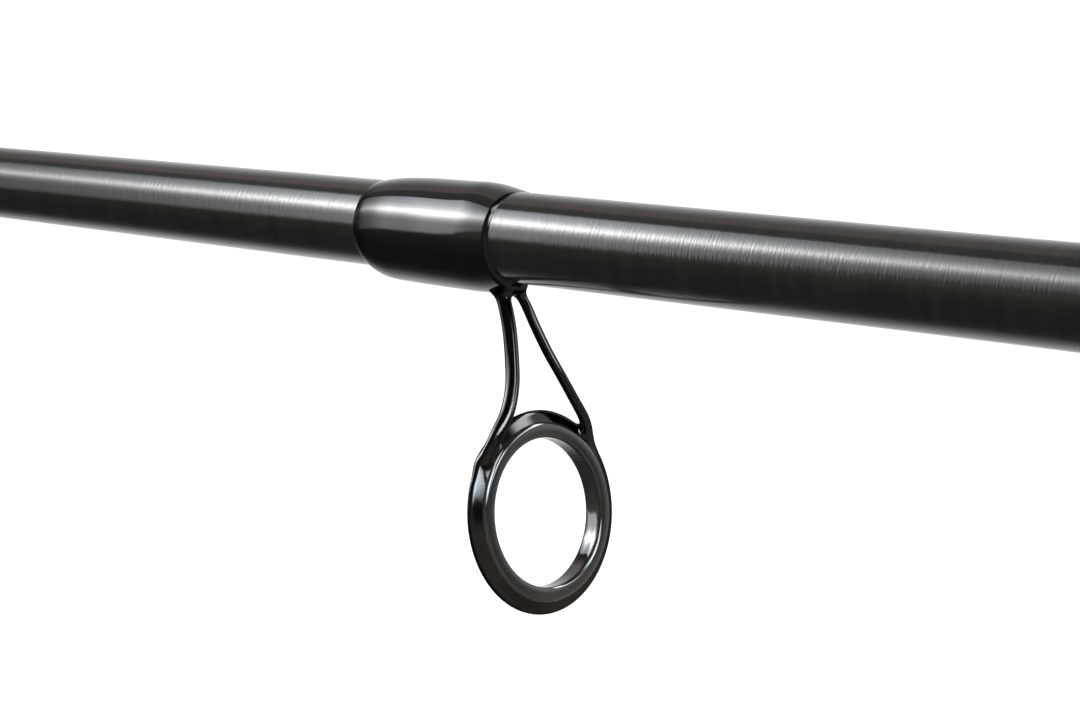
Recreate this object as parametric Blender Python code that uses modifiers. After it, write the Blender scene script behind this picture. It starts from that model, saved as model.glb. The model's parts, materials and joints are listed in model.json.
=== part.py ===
"""A two-piece spinning rod: butt section with cork handle and reel seat, tip section with ringed guides.

The rod lies along +X with its butt cap's flat end at the origin, and its guides hang towards -Z.
Every length below is in millimetres; the helper functions turn them into metres.
"""
import math

import bmesh
import bpy
from mathutils import Vector

MM = 0.001

# ---- driving dimensions -------------------------------------------------------------------------
SIDES = 24            # sides of every round piece, so that neighbours' facets line up
SMALL_SIDES = 16      # sides of the small guides' rings
FIT = 0.05            # radial gap between pieces that are glued or pressed together
END_GAP = 0.3         # gap between two pieces that meet end to end

# outer outlines of the two hollow blanks: (distance from the butt, radius)
BUTT_OUTLINE = [(5.0, 7.30), (300.0, 6.70), (600.0, 5.30), (900.0, 3.60), (965.0, 3.37)]
TIP_OUTLINE = [(900.0, 4.30), (955.0, 3.97), (1000.0, 3.95), (1100.0, 3.50), (1797.0, 1.10)]
BUTT_WALL = 1.1
TIP_WALL = 0.6
FERRULE_MOUTH = 900.0
FERRULE_END = 965.0

# handle, from the butt end forwards
CAP_END, CAP_RADIUS, TENON_RADIUS = 26.0, 14.5, 12.5
REAR_GRIP_END, REAR_CHECK_LENGTH = 118.0, 6.0
MID_CHECK_START, MID_GRIP_END = 196.0, 240.0
SEAT_END, SEAT_RADIUS, SEAT_BORE = 364.0, 9.30, 8.00
BED_START, BED_END, BED_DROP = 296.0, 339.5, 8.80   # flat bed that the reel's foot lies on
GROOVE_END, GROOVE_WIDTH, GROOVE_FLOOR = 316.0, 2.0, 8.70
NUT_START, NUT_END, NUT_BORE = 250.0, 259.0, 9.45
HOOD_START, HOOD_LENGTH, HOOD_WALL = 259.3, 21.7, 1.4
HOOD_BACK = 5.7       # solid back wall of each hood
HOOD_POCKET = 5.6     # how far a hood's pocket bulges below the seat
FIXED_HOOD_START = 340.3
SLIDE_FIT = 0.08      # running gap between sliding hood and seat
FOREGRIP_START, FOREGRIP_END, FRONT_CHECK_END = 367.9, 425.0, 431.0

# guides: name, leg root's distance from the butt, ring size, height scale, wrap length
SINGLE_GUIDES = [
    ("second", 1000.0, 16.0, 1.00, 16.6),
    ("third", 1240.0, 10.0, 0.62, 13.0),
    ("fourth", 1430.0, 8.0, 0.50, 11.0),
    ("fifth", 1580.0, 7.0, 0.44, 10.0),
    ("sixth", 1700.0, 6.0, 0.38, 9.0),
]
STRIPPER_ROOT, STRIPPER_SIZE, STRIPPER_SCALE, STRIPPER_WRAP = 700.0, 25.0, 1.45, 24.0
TIP_TOP_X, TIP_TOP_SIZE = 1800.0, 6.0

# proportions of a size 16 guide, measured from the blank's lowest line at the leg root
NOMINAL = 16.0
HOOP_OUTER, HOOP_INNER, HOOP_DEPTH = 8.90, 7.83, 1.50
RING_OUTER, RING_BORE, RING_DEPTH = 7.79, 6.46, 2.10
RING_DROP, RING_SETBACK = 19.79, 2.59
RING_LEAN = math.radians(7.9)     # the hoop's bottom leans towards the butt
LEG_WIRE = 0.54                   # radius of a leg
LEG_ROUTE = [                     # (towards the tip, sideways, drop) from foot to hoop
    (1.7, 0.70, 0.66), (1.2, 1.00, 0.95), (0.5, 1.25, 2.00), (-0.3, 1.58, 3.80), (-1.2, 2.21, 6.05),
    (-2.1, 3.07, 8.30), (-2.6, 4.10, 10.40), (-2.7, 5.20, 12.30), (-2.35, 6.15, 13.90),
    (-1.9, 6.86, 15.00),
]

BLACK = (0.012, 0.012, 0.013, 1.0)
GLOSS_BLACK = (0.006, 0.006, 0.007, 1.0)
CERAMIC = (0.045, 0.047, 0.050, 1.0)
CORK = (0.52, 0.33, 0.17, 1.0)
GUNMETAL = (0.16, 0.16, 0.17, 1.0)
RUBBER = (0.020, 0.020, 0.021, 1.0)


# ---- scene and helpers --------------------------------------------------------------------------
def clear_scene():
    for thing in list(bpy.data.objects):
        bpy.data.objects.remove(thing, do_unlink=True)


def new_collection(name):
    collection = bpy.data.collections.new(name)
    bpy.context.scene.collection.children.link(collection)
    return collection


def make_material(name, colour, roughness, metallic=0.0, coat=0.0):
    material = bpy.data.materials.new(name)
    material.use_nodes = True
    shader = material.node_tree.nodes["Principled BSDF"]
    shader.inputs["Base Color"].default_value = colour
    shader.inputs["Roughness"].default_value = roughness
    shader.inputs["Metallic"].default_value = metallic
    shader.inputs["Coat Weight"].default_value = coat
    return material


def add_object(name, mesh, finish, collection=None):
    thing = bpy.data.objects.new(name, mesh)
    (collection or PARTS).objects.link(thing)
    if finish:
        thing.data.materials.append(make_material(name, *finish))
    return thing


def hide_as_cutter(thing):
    thing.hide_render = True
    thing.display_type = "WIRE"
    return thing


def mesh_of(name, points, faces=(), edges=()):
    mesh = bpy.data.meshes.new(name)
    mesh.from_pydata([Vector(p) * MM for p in points], edges, faces)
    if faces:
        work = bmesh.new()
        work.from_mesh(mesh)
        bmesh.ops.recalc_face_normals(work, faces=work.faces)
        work.to_mesh(mesh)
        work.free()
        mesh.shade_smooth()
        mesh.set_sharp_from_angle(angle=math.radians(35))
    mesh.update()
    return mesh


def radius_at(outline, x):
    """The radius of an outline at x, between its points and held at its ends."""
    if x <= outline[0][0]:
        return outline[0][1]
    for (x0, r0), (x1, r1) in zip(outline, outline[1:]):
        if x <= x1:
            return r0 + (r1 - r0) * (x - x0) / (x1 - x0)
    return outline[-1][1]


def outline_between(outline, start, end, gap=0.0):
    """The outline's points from start to end, widened by gap."""
    inside = [x for x, _ in outline if start < x < end]
    return [(x, radius_at(outline, x) + gap) for x in [start, *inside, end]]


def turned(name, profile, finish, closed=True, sides=SIDES, collection=None):
    """A piece turned about the rod's axis. The profile runs back along its outside, then forward inside."""
    points = [(r, 0.0, x) for x, r in profile]
    edges = [(i, i + 1) for i in range(len(points) - 1)]
    if closed:
        edges.append((len(points) - 1, 0))
    thing = add_object(name, mesh_of(name, points, edges=edges), finish, collection)
    thing.rotation_euler = (0.0, math.pi / 2, 0.0)
    screw = thing.modifiers.new("turn", "SCREW")
    screw.axis = "Z"
    screw.steps = screw.render_steps = sides
    screw.use_merge_vertices = True
    screw.merge_threshold = 0.000001
    screw.use_smooth_shade = True
    return thing


def turned_tube(name, outer, inner, finish, **options):
    """A turned tube from its outer and inner outlines, both listed from the butt towards the tip."""
    return turned(name, [*reversed(outer), *inner], finish, **options)


def sleeve(name, stations, finish, sides=SIDES, setback=None):
    """A closed band about the rod, lofted through stations of (x, inner, outer).

    inner and outer give a radius for an angle measured from straight down; setback, if given, moves
    the band's butt end forwards at that angle.
    """
    angles = [2 * math.pi * i / sides for i in range(sides)]
    first, last = stations[0][0], stations[-1][0]
    points = []
    for x, inner, outer in stations:
        for angle in angles:
            down = min(angle, 2 * math.pi - angle)
            shift = setback(down) * (last - x) / (last - first) if setback else 0.0
            for radius in (outer(down), inner(down)):
                points.append((x + shift, radius * math.sin(angle), -radius * math.cos(angle)))

    def corner(station, side, layer):
        return (station * sides + side % sides) * 2 + layer

    faces = []
    for i in range(sides):
        for layer in (0, 1):
            for k in range(len(stations) - 1):
                quad = [corner(k, i, layer), corner(k + 1, i, layer),
                        corner(k + 1, i + 1, layer), corner(k, i + 1, layer)]
                faces.append(quad)
        for k in (0, len(stations) - 1):
            faces.append([corner(k, i, 0), corner(k, i + 1, 0), corner(k, i + 1, 1), corner(k, i, 1)])
    return add_object(name, mesh_of(name, points, faces), finish)


def box(name, low, high):
    """A cutting or joining block between two corners."""
    work = bmesh.new()
    bmesh.ops.create_cube(work, size=1.0)
    size = Vector(high) - Vector(low)
    middle = (Vector(high) + Vector(low)) / 2
    for vert in work.verts:
        vert.co = Vector(c * s + m for c, s, m in zip(vert.co, size, middle)) * MM
    mesh = bpy.data.meshes.new(name)
    work.to_mesh(mesh)
    work.free()
    return hide_as_cutter(add_object(name, mesh, None, CUTTERS))


def combine(thing, other, operation):
    boolean = thing.modifiers.new(other.name, "BOOLEAN")
    boolean.operation = operation
    boolean.solver = "EXACT"
    boolean.object = other


def smooth_route(points, steps=2):
    """Points along a Catmull-Rom curve through the given ones."""
    points = [Vector(p) for p in points]
    ends = [2 * points[0] - points[1], *points, 2 * points[-1] - points[-2]]
    route = []
    for a, b, c, d in zip(ends, ends[1:], ends[2:], ends[3:]):
        for k in range(steps):
            t = k / steps
            route.append(0.5 * (2 * b + (c - a) * t + (2 * a - 5 * b + 4 * c - d) * t ** 2
                                + (3 * b - a - 3 * c + d) * t ** 3))
    return [*route, points[-1]]


def wire(name, route, radius, tips=1.0, finish=None, resolution=1):
    """A round wire along a route, as a mesh with welded end caps; tips scales its last point."""
    curve = bpy.data.curves.new(name, "CURVE")
    curve.dimensions = "3D"
    curve.bevel_depth = radius * MM
    curve.bevel_resolution = resolution
    curve.use_fill_caps = True
    spline = curve.splines.new("POLY")
    spline.points.add(len(route) - 1)
    for i, point in enumerate(route):
        spline.points[i].co = (*(Vector(point) * MM), 1.0)
    spline.points[-1].radius = tips
    source = bpy.data.objects.new(name + "_curve", curve)
    CUTTERS.objects.link(source)
    graph = bpy.context.evaluated_depsgraph_get()
    mesh = bpy.data.meshes.new_from_object(source.evaluated_get(graph))
    bpy.data.objects.remove(source, do_unlink=True)
    work = bmesh.new()
    work.from_mesh(mesh)
    bmesh.ops.remove_doubles(work, verts=work.verts, dist=0.000001)
    bmesh.ops.recalc_face_normals(work, faces=work.faces)
    work.to_mesh(mesh)
    work.free()
    if finish:
        return add_object(name, mesh, finish)
    return hide_as_cutter(add_object(name, mesh, None, CUTTERS))


def fade(angle, full, none):
    """1 within full degrees of straight down, easing to 0 at none degrees."""
    t = min(max((math.degrees(angle) - full) / (none - full), 0.0), 1.0)
    return 1.0 - t * t * (3.0 - 2.0 * t)


# ---- blanks -------------------------------------------------------------------------------------
SATIN_BLANK = (BLACK, 0.28, 0.0, 0.5)
GLOSS_WRAP = (GLOSS_BLACK, 0.05, 0.0, 1.0)
BLACK_CHROME = (GLOSS_BLACK, 0.12, 0.6, 0.5)
POLISHED_CERAMIC = (CERAMIC, 0.10, 0.0, 0.3)
GRIP_CORK = (CORK, 0.75)
DARK_METAL = (GUNMETAL, 0.25, 1.0)
SEAT_PLASTIC = (BLACK, 0.35)
CAP_RUBBER = (RUBBER, 0.70)


def make_blanks():
    bore = [(x, r - BUTT_WALL) for x, r in BUTT_OUTLINE]
    turned_tube("butt_blank", BUTT_OUTLINE, bore, SATIN_BLANK)
    socket = outline_between(BUTT_OUTLINE, FERRULE_MOUTH, FERRULE_END, gap=0.04)
    bore = [(FERRULE_END + 1.0, socket[-1][1]),
            *[(x, r - TIP_WALL) for x, r in TIP_OUTLINE if x > FERRULE_END + 1.0]]
    turned_tube("tip_blank", TIP_OUTLINE, [*socket, *bore], SATIN_BLANK)


# ---- handle -------------------------------------------------------------------------------------
def ring_on_blank(name, start, end, first, last, finish):
    """A short turned collar on the butt blank with rounded rims, from radius first to radius last."""
    rim = min(0.8, (end - start) / 4)
    outer = [(start, first - rim), (start + rim, first), (end - rim, last), (end, last - rim)]
    inner = outline_between(BUTT_OUTLINE, start, end, FIT)
    return turned_tube(name, outer, inner, finish)


def grip(name, outer):
    inner = outline_between(BUTT_OUTLINE, outer[0][0], outer[-1][0], FIT)
    return turned_tube(name, outer, inner, GRIP_CORK)


def make_handle():
    floor = 4.0
    turned("butt_cap", [
        (floor, 0.0), (floor, TENON_RADIUS + FIT), (CAP_END, TENON_RADIUS + FIT),
        (CAP_END, CAP_RADIUS - 0.3), (CAP_END - 1.0, CAP_RADIUS), (6.0, CAP_RADIUS),
        (2.0, CAP_RADIUS - 1.0), (0.4, 12.2), (0.0, 11.0), (0.0, 0.0)], CAP_RUBBER, closed=False)
    grip("rear_grip", [
        (4.3, TENON_RADIUS), (CAP_END + END_GAP, TENON_RADIUS), (CAP_END + END_GAP, 14.1),
        (42.0, 14.2), (60.0, 13.8), (78.0, 12.8), (94.0, 11.4), (106.0, 10.2), (112.0, 9.8),
        (REAR_GRIP_END, 9.6)])
    check_start = REAR_GRIP_END + END_GAP
    ring_on_blank("rear_winding_check", check_start, check_start + REAR_CHECK_LENGTH, 9.4, 8.5,
                  DARK_METAL)
    ring_on_blank("middle_winding_check", MID_CHECK_START, MID_CHECK_START + REAR_CHECK_LENGTH,
                  8.4, 9.3, DARK_METAL)
    grip("middle_grip", [
        (MID_CHECK_START + REAR_CHECK_LENGTH + END_GAP, 9.5), (208.0, 9.7), (216.0, 10.6),
        (226.0, 11.9), (234.0, 12.4), (MID_GRIP_END, 12.3)])
    grip("foregrip", [
        (FOREGRIP_START, 12.0), (371.0, 12.6), (385.0, 12.7), (398.0, 12.0), (410.0, 10.6),
        (418.0, 9.6), (FOREGRIP_END, 9.2)])
    ring_on_blank("front_winding_check", FOREGRIP_END + END_GAP, FRONT_CHECK_END, 9.0, 7.6, DARK_METAL)


def make_reel_seat():
    start = MID_GRIP_END + END_GAP
    body = turned_tube("reel_seat_body", [(start, SEAT_RADIUS), (SEAT_END, SEAT_RADIUS)],
                       [(start, SEAT_BORE), (SEAT_END, SEAT_BORE)], SEAT_PLASTIC)
    combine(body, box("bed_cut", (BED_START, -8, -12), (BED_END, 8, -BED_DROP)), "DIFFERENCE")
    half = GROOVE_WIDTH / 2
    combine(body, box("groove_cut", (start - 1, -half, GROOVE_FLOOR), (GROOVE_END, half, 11)),
            "DIFFERENCE")
    middle = (start + SEAT_END) / 2
    for name, x in (("rear", start + 3), ("middle", middle - 5), ("front", SEAT_END - 13)):
        outer = [(x, SEAT_BORE - FIT), (x + 10, SEAT_BORE - FIT)]
        turned_tube("seat_arbor_" + name, outer, outline_between(BUTT_OUTLINE, x, x + 10, FIT),
                    CAP_RUBBER)
    turned_tube("seat_trim_ring", [(SEAT_END + END_GAP, 11.2), (365.3, 11.9), (366.6, 11.9),
                                   (FOREGRIP_START - END_GAP, 11.4)],
                outline_between(BUTT_OUTLINE, SEAT_END + END_GAP, FOREGRIP_START - END_GAP, FIT),
                DARK_METAL)


def hood(name, closed_end, direction, gap):
    """A hood round the seat: a solid back wall, then a pocket below the seat that opens one way."""
    bore = SEAT_RADIUS + gap

    def inside(depth):
        return lambda angle: bore + (HOOD_POCKET * fade(angle, 28, 72) if depth > HOOD_BACK else 0.0)

    def outside(bulge, skin):
        return lambda angle: bore + skin + bulge * HOOD_POCKET * fade(angle, 30, 78)

    depths = [
        (0.0, 0.25, 1.0), (1.0, 0.45, HOOD_WALL), (HOOD_BACK, 0.92, HOOD_WALL),
        (HOOD_BACK + 0.4, 0.96, HOOD_WALL), (10.0, 1.04, HOOD_WALL), (HOOD_LENGTH - 1.2, 1.04, 1.6),
        (HOOD_LENGTH, 1.0, 1.1),
    ]
    stations = [(closed_end + direction * d, inside(d), outside(b, s)) for d, b, s in depths]
    return sleeve(name, sorted(stations, key=lambda s: s[0]), DARK_METAL)


def make_hoods_and_nut():
    sliding = hood("sliding_hood", HOOD_START, 1, SLIDE_FIT)
    key = box("hood_key", (HOOD_START + 1, -0.8, GROOVE_FLOOR + 0.15), (HOOD_START + 12, 0.8, 10.0))
    combine(sliding, key, "UNION")
    hood("fixed_hood", FIXED_HOOD_START + HOOD_LENGTH, -1, FIT)

    def fluted(high, low):
        return lambda angle: high if round(angle / (2 * math.pi / SIDES)) % 2 else low

    def plain(radius):
        return lambda angle: radius

    bore = plain(NUT_BORE)
    sleeve("lock_nut", [
        (NUT_START, bore, plain(11.4)), (NUT_START + 1, bore, fluted(12.4, 12.0)),
        (NUT_END - 1.5, bore, fluted(12.4, 12.0)), (NUT_END, bore, plain(11.2))], SEAT_PLASTIC)
    turned_tube("nut_trim_ring",
                [(247.0, 11.0), (247.7, 11.7), (249.0, 11.7), (NUT_START - END_GAP, 11.2)],
                [(247.0, NUT_BORE), (NUT_START - END_GAP, NUT_BORE)], DARK_METAL)


# ---- thread wraps -------------------------------------------------------------------------------
def plain_wrap(name, outline, start, end, coat=0.35):
    """A short thread wrap with a domed coat of epoxy."""
    rim = min(1.5, (end - start) / 3)
    outer = [(start, 0.12), (start + rim, coat), (end - rim, coat), (end, 0.12)]
    outer = [(x, radius_at(outline, x) + t) for x, t in outer]
    return turned_tube(name, outer, outline_between(outline, start, end, FIT), GLOSS_WRAP)


FOOT_LIFT = 0.05      # the foot's gap to the blank below it and to the wrap above it
LEAST_COAT = 0.15     # thinnest epoxy over a foot


def guide_wrap(name, outline, root, length, scale, direction=1):
    """A thread wrap over a guide's foot: thick at the foot's root, thinning towards the other end."""
    foot_sector = math.radians(20 if scale > 0.7 else 35)

    def thickness(share):
        """Coat above the blank, away from the foot, from root (0) to end (1)."""
        rise = math.sqrt(min(share / 0.16, 1.0))
        fall = math.sqrt(max(min((1.0 - share) / 0.22, 1.0), 0.0))
        return 0.10 + (0.72 - 0.35 * share) * scale * rise * fall

    def ridge(share):
        """Extra height over the foot."""
        return (0.95 - 0.15 * share) * scale * math.sqrt(max(1.0 - share, 0.0)) * min(share / 0.05 + 0.6, 1)

    stations = []
    for share in (0.0, 0.03, 0.10, 0.24, 0.50, 0.78, 0.92, 1.0):
        x = root + direction * share * length
        blank = radius_at(outline, x)

        def inner(angle, share=share, blank=blank):
            over_foot = angle < foot_sector
            raised = foot_height(share, scale) + FOOT_LIFT if over_foot and share < 0.98 else 0.0
            return blank + FIT + raised

        def outer(angle, share=share, blank=blank, inner=inner):
            width = 25 if scale > 0.7 else 35
            coat = blank + thickness(share) + ridge(share) * fade(angle, width, width + 45)
            return max(coat, inner(angle) + LEAST_COAT)

        stations.append((x, inner, outer))

    def setback(angle):
        return direction * 2.3 * math.sqrt(scale) * fade(angle, 25, 70)

    if direction < 0:
        stations.reverse()
        return sleeve(name, stations, GLOSS_WRAP)
    return sleeve(name, stations, GLOSS_WRAP, setback=setback)


def foot_height(share, scale):
    """How thick a guide's foot is, at a share of its wrap's length from the root."""
    return max(0.85 - 0.75 * share, 0.12) * scale


# ---- guides -------------------------------------------------------------------------------------
def foot(name, outline, root, start, length, scale, direction=1):
    """The flat tongue of a guide, lying along the blank's underside below its wrap."""
    steps = 1 if scale > 0.7 else 2
    angles = [2 * math.pi / SIDES * k for k in range(-steps, steps + 1)]
    columns = len(angles)
    shares = (start / length, 0.1, 0.5, 0.93)
    points = []
    for share in shares:
        x = root + direction * share * length
        base = radius_at(outline, x) + FOOT_LIFT
        for angle in angles:
            for radius in (base, base + foot_height(share, scale)):
                points.append((x, radius * math.sin(angle), -radius * math.cos(angle)))

    def corner(share, column, layer):
        return (share * columns + column) * 2 + layer

    faces = []
    for k in range(len(shares) - 1):
        for i in range(columns - 1):
            for layer in (0, 1):
                faces.append([corner(k, i, layer), corner(k + 1, i, layer),
                              corner(k + 1, i + 1, layer), corner(k, i + 1, layer)])
        for i in (0, columns - 1):
            faces.append([corner(k, i, 0), corner(k + 1, i, 0), corner(k + 1, i, 1), corner(k, i, 1)])
    for k in (0, len(shares) - 1):
        for i in range(columns - 1):
            faces.append([corner(k, i, 0), corner(k, i + 1, 0), corner(k, i + 1, 1), corner(k, i, 1)])
    return hide_as_cutter(add_object(name, mesh_of(name, points, faces), None, CUTTERS))


def ring_profile(outer, inner, depth, scale, flat):
    """A rounded ring section about x = 0; flat is the share of the depth that stays straight."""
    o, i, d = outer * scale, inner * scale, depth * scale / 2
    middle = (o + i) / 2
    return [(d * flat, o), (0.0 - d * flat, o), (-d, middle), (-d * 0.7, i), (d * 0.7, i), (d, middle)]


def place_ring(thing, x, drop, lean=RING_LEAN):
    """Centre a ring on x, a drop below the rod's axis, with its bottom leaning towards the butt."""
    thing.location = (x * MM, 0.0, -drop * MM)
    thing.rotation_euler = (0.0, math.pi / 2 + lean, 0.0)


def make_guide(name, outline, root, size, scale, wrap_length):
    """One guide: a frame with foot, legs and hoop in one piece, a ceramic ring, and its wrap."""
    sides = SIDES if size > 12 else SMALL_SIDES
    rings = size / NOMINAL
    surface = radius_at(outline, root)
    centre_x = root - RING_SETBACK * scale
    drop = surface + RING_DROP * scale
    frame = turned(name + "_guide_frame", ring_profile(HOOP_OUTER, HOOP_INNER, HOOP_DEPTH, rings, 0.35),
                   BLACK_CHROME, sides=sides)
    place_ring(frame, centre_x, drop)
    ceramic = turned(name + "_guide_ring", ring_profile(RING_OUTER, RING_BORE, RING_DEPTH, rings, 0.45),
                     POLISHED_CERAMIC, sides=sides)
    place_ring(ceramic, centre_x, drop)
    thick = math.sqrt(scale)
    hoop_middle = (HOOP_OUTER + HOOP_INNER) / 2
    spread = hoop_middle * rings / (hoop_middle * scale)
    for side, sign in (("left", 1), ("right", -1)):
        points = []
        for i, (along, out, down) in enumerate(LEG_ROUTE):
            widen = 1.0 + (spread - 1.0) * (i / (len(LEG_ROUTE) - 1)) ** 2
            below = max(down * scale, LEG_WIRE * thick + 2 * FOOT_LIFT)
            points.append((root + along * scale, sign * out * scale * widen, -surface - below))
        leg = wire(f"{name}_{side}_leg", points, LEG_WIRE * thick, tips=0.65)
        combine(frame, leg, "UNION")
    tongue = foot(name + "_foot", outline, root, 0.9 * scale, wrap_length, scale)
    combine(frame, tongue, "UNION")
    guide_wrap(name + "_guide_wrap", outline, root, wrap_length, scale)
    return frame


def make_stripper():
    """The first guide: as the others, with a strut from the hoop's top to a second foot at its back."""
    frame = make_guide("stripper", BUTT_OUTLINE, STRIPPER_ROOT, STRIPPER_SIZE, STRIPPER_SCALE,
                       STRIPPER_WRAP)
    rear_root = STRIPPER_ROOT - 19.0
    surface = radius_at(BUTT_OUTLINE, STRIPPER_ROOT)
    hoop_top = RING_DROP * STRIPPER_SCALE - HOOP_OUTER * STRIPPER_SIZE / NOMINAL
    route = [
        (rear_root - 3.0, 0, -surface - 0.85), (rear_root + 0.5, 0, -surface - 1.2),
        (rear_root + 5.0, 0, -surface - 3.6), (rear_root + 11.0, 0, -surface - hoop_top * 0.72),
        (STRIPPER_ROOT - RING_SETBACK * STRIPPER_SCALE + 1.7, 0, -surface - hoop_top - 0.7),
    ]
    combine(frame, wire("stripper_strut", smooth_route(route, 2), 0.75), "UNION")
    combine(frame, foot("stripper_rear_foot", BUTT_OUTLINE, rear_root, 1.0, STRIPPER_WRAP * 0.8, 1.3, -1),
            "UNION")
    guide_wrap("stripper_rear_wrap", BUTT_OUTLINE, rear_root - 3.6, STRIPPER_WRAP * 0.72, 1.3, -1)


def make_tip_top():
    """The end ring: a tube over the blank's tip, a hoop ahead of and below it, and two side wires."""
    rings = TIP_TOP_SIZE / NOMINAL * 1.1
    start, end = TIP_TOP_X - 17.0, TIP_TOP_X - 2.0
    bore = [(start, radius_at(TIP_OUTLINE, start) + FIT), (TIP_TOP_X - 3.0, radius_at(TIP_OUTLINE, 1797) + FIT)]
    tube = turned("tip_top_tube_shape", [
        (end, 0.0), (end, 0.9), (end - 0.6, 1.6), (start + 0.4, 1.75), (start, 1.55), bore[0], bore[1],
        (TIP_TOP_X - 2.8, 0.0)], None, closed=False, sides=SMALL_SIDES, collection=CUTTERS)
    hide_as_cutter(tube)
    lean = math.radians(-14)
    centre = (TIP_TOP_X + 1.2, 4.4)
    frame = turned("tip_top_frame", ring_profile(HOOP_OUTER, HOOP_INNER, HOOP_DEPTH * 1.3, rings, 0.35),
                   BLACK_CHROME, sides=SMALL_SIDES)
    place_ring(frame, *centre, lean)
    ceramic = turned("tip_top_ring", ring_profile(RING_OUTER, RING_BORE, RING_DEPTH, rings, 0.45),
                     POLISHED_CERAMIC, sides=SMALL_SIDES)
    place_ring(ceramic, *centre, lean)
    combine(frame, tube, "UNION")
    reach = HOOP_OUTER * rings
    for side, sign in (("left", 1), ("right", -1)):
        route = [(start + 3.0, sign * 1.3, -1.2), (start + 8.0, sign * 2.0, -2.4),
                 (TIP_TOP_X - 3.0, sign * (reach - 0.3), -3.6), (centre[0] - 0.1, sign * reach, -4.4)]
        combine(frame, wire(f"tip_top_{side}_wire", smooth_route(route, 2), 0.42, tips=0.6), "UNION")
    plain_wrap("tip_top_wrap", TIP_OUTLINE, start - 4.5, start - END_GAP, 0.3)


def make_hook_keeper():
    """A wire staple below the butt blank, for parking a hook, bound at both ends."""
    start, end = 452.0, 474.0
    surface = radius_at(BUTT_OUTLINE, (start + end) / 2)
    lift = 0.5 + FOOT_LIFT + 0.1
    route = [(start, 0, -surface - lift - 0.05), (458.5, 0, -surface - lift),
             (459.8, 0, -surface - 1.4), (460.6, 0, -surface - 4.4), (463.0, 0, -surface - 6.4),
             (465.4, 0, -surface - 4.4), (466.2, 0, -surface - 1.4), (467.5, 0, -surface - lift),
             (end, 0, -surface - lift)]
    wire("hook_keeper", smooth_route(route, 2), 0.5, finish=BLACK_CHROME, resolution=2)

    def wrap(name, begin, stop):
        length = stop - begin
        stations = []
        for share in (0.0, 0.12, 0.88, 1.0):
            x = begin + share * length
            blank = radius_at(BUTT_OUTLINE, x)
            coat = 0.15 if share in (0.0, 1.0) else 0.4

            def inner(angle, blank=blank):
                return blank + FIT + (1.35 if angle < math.radians(20) else 0.0)

            def outer(angle, blank=blank, coat=coat):
                return blank + coat + 1.45 * fade(angle, 25, 65)

            stations.append((x, inner, outer))
        return sleeve(name, stations, GLOSS_WRAP)

    wrap("hook_keeper_rear_wrap", start - 1.0, 458.0)
    wrap("hook_keeper_front_wrap", 468.0, end + 1.0)


def make_plain_wraps():
    plain_wrap("handle_wrap", BUTT_OUTLINE, FRONT_CHECK_END + END_GAP, 448.0)
    plain_wrap("index_wrap", BUTT_OUTLINE, FERRULE_MOUTH - 12.0, FERRULE_MOUTH - 6.0)
    plain_wrap("ferrule_wrap", TIP_OUTLINE, FERRULE_MOUTH + 0.5, FERRULE_MOUTH + 24.0, 0.45)


clear_scene()
PARTS = new_collection("spinning_rod")
CUTTERS = new_collection("cutters")
make_blanks()
make_handle()
make_reel_seat()
make_hoods_and_nut()
make_plain_wraps()
make_hook_keeper()
make_stripper()
for guide in SINGLE_GUIDES:
    make_guide(guide[0], TIP_OUTLINE, *guide[1:])
make_tip_top()
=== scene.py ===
"""Looks for the spinning rod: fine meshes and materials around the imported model, studio light and camera.

Lengths are in millimetres until a mesh is made; the rod lies along +X from its butt cap at the origin.
"""
import json
import math

import bpy
import numpy as np
from mathutils import Matrix, Vector, noise


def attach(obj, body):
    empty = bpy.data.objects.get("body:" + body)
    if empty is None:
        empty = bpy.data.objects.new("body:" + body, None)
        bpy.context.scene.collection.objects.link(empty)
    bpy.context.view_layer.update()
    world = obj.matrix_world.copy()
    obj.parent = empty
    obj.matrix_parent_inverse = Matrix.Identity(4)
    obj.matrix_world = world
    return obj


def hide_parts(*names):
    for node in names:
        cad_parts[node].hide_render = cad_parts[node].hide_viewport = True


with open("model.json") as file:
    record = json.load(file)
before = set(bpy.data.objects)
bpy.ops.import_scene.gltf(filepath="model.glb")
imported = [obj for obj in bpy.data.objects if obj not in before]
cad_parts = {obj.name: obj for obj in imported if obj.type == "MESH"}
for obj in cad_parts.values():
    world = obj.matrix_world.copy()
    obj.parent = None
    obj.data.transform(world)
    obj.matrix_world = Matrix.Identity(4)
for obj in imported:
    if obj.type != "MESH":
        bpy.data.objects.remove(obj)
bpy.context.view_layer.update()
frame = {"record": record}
MM = 0.001
BUTT, TIP = "butt_section", "tip_section"
HOOD, NUT = "sliding_hood", "lock_nut"

# ---- dimensions, as in the part ----
BUTT_OUTLINE = [(5.0, 7.30), (300.0, 6.70), (600.0, 5.30), (900.0, 3.60), (965.0, 3.37)]
TIP_OUTLINE = [(900.0, 4.30), (955.0, 3.97), (1000.0, 3.95), (1100.0, 3.50), (1797.0, 1.10)]
BUTT_WALL = 1.1
FERRULE_MOUTH, FERRULE_END = 900.0, 965.0
FIT = 0.05                # gap between a piece and the blank that it sits on
SEAT_RADIUS = 9.30

# Each guide's name, where its legs leave the wrap, its ring size, the scale of its legs, its wrap's length.
SINGLE_GUIDES = [
    ("second", 1000.0, 16.0, 1.00, 17.0),
    ("third", 1240.0, 10.0, 0.62, 13.0),
    ("fourth", 1430.0, 8.0, 0.50, 11.0),
    ("fifth", 1580.0, 7.0, 0.44, 10.0),
    ("sixth", 1700.0, 6.0, 0.38, 9.0),
]
STRIPPER = ("stripper", 700.0, 25.0, 1.45, 24.0)
STRIPPER_REAR_ROOT = 681.0

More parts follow.
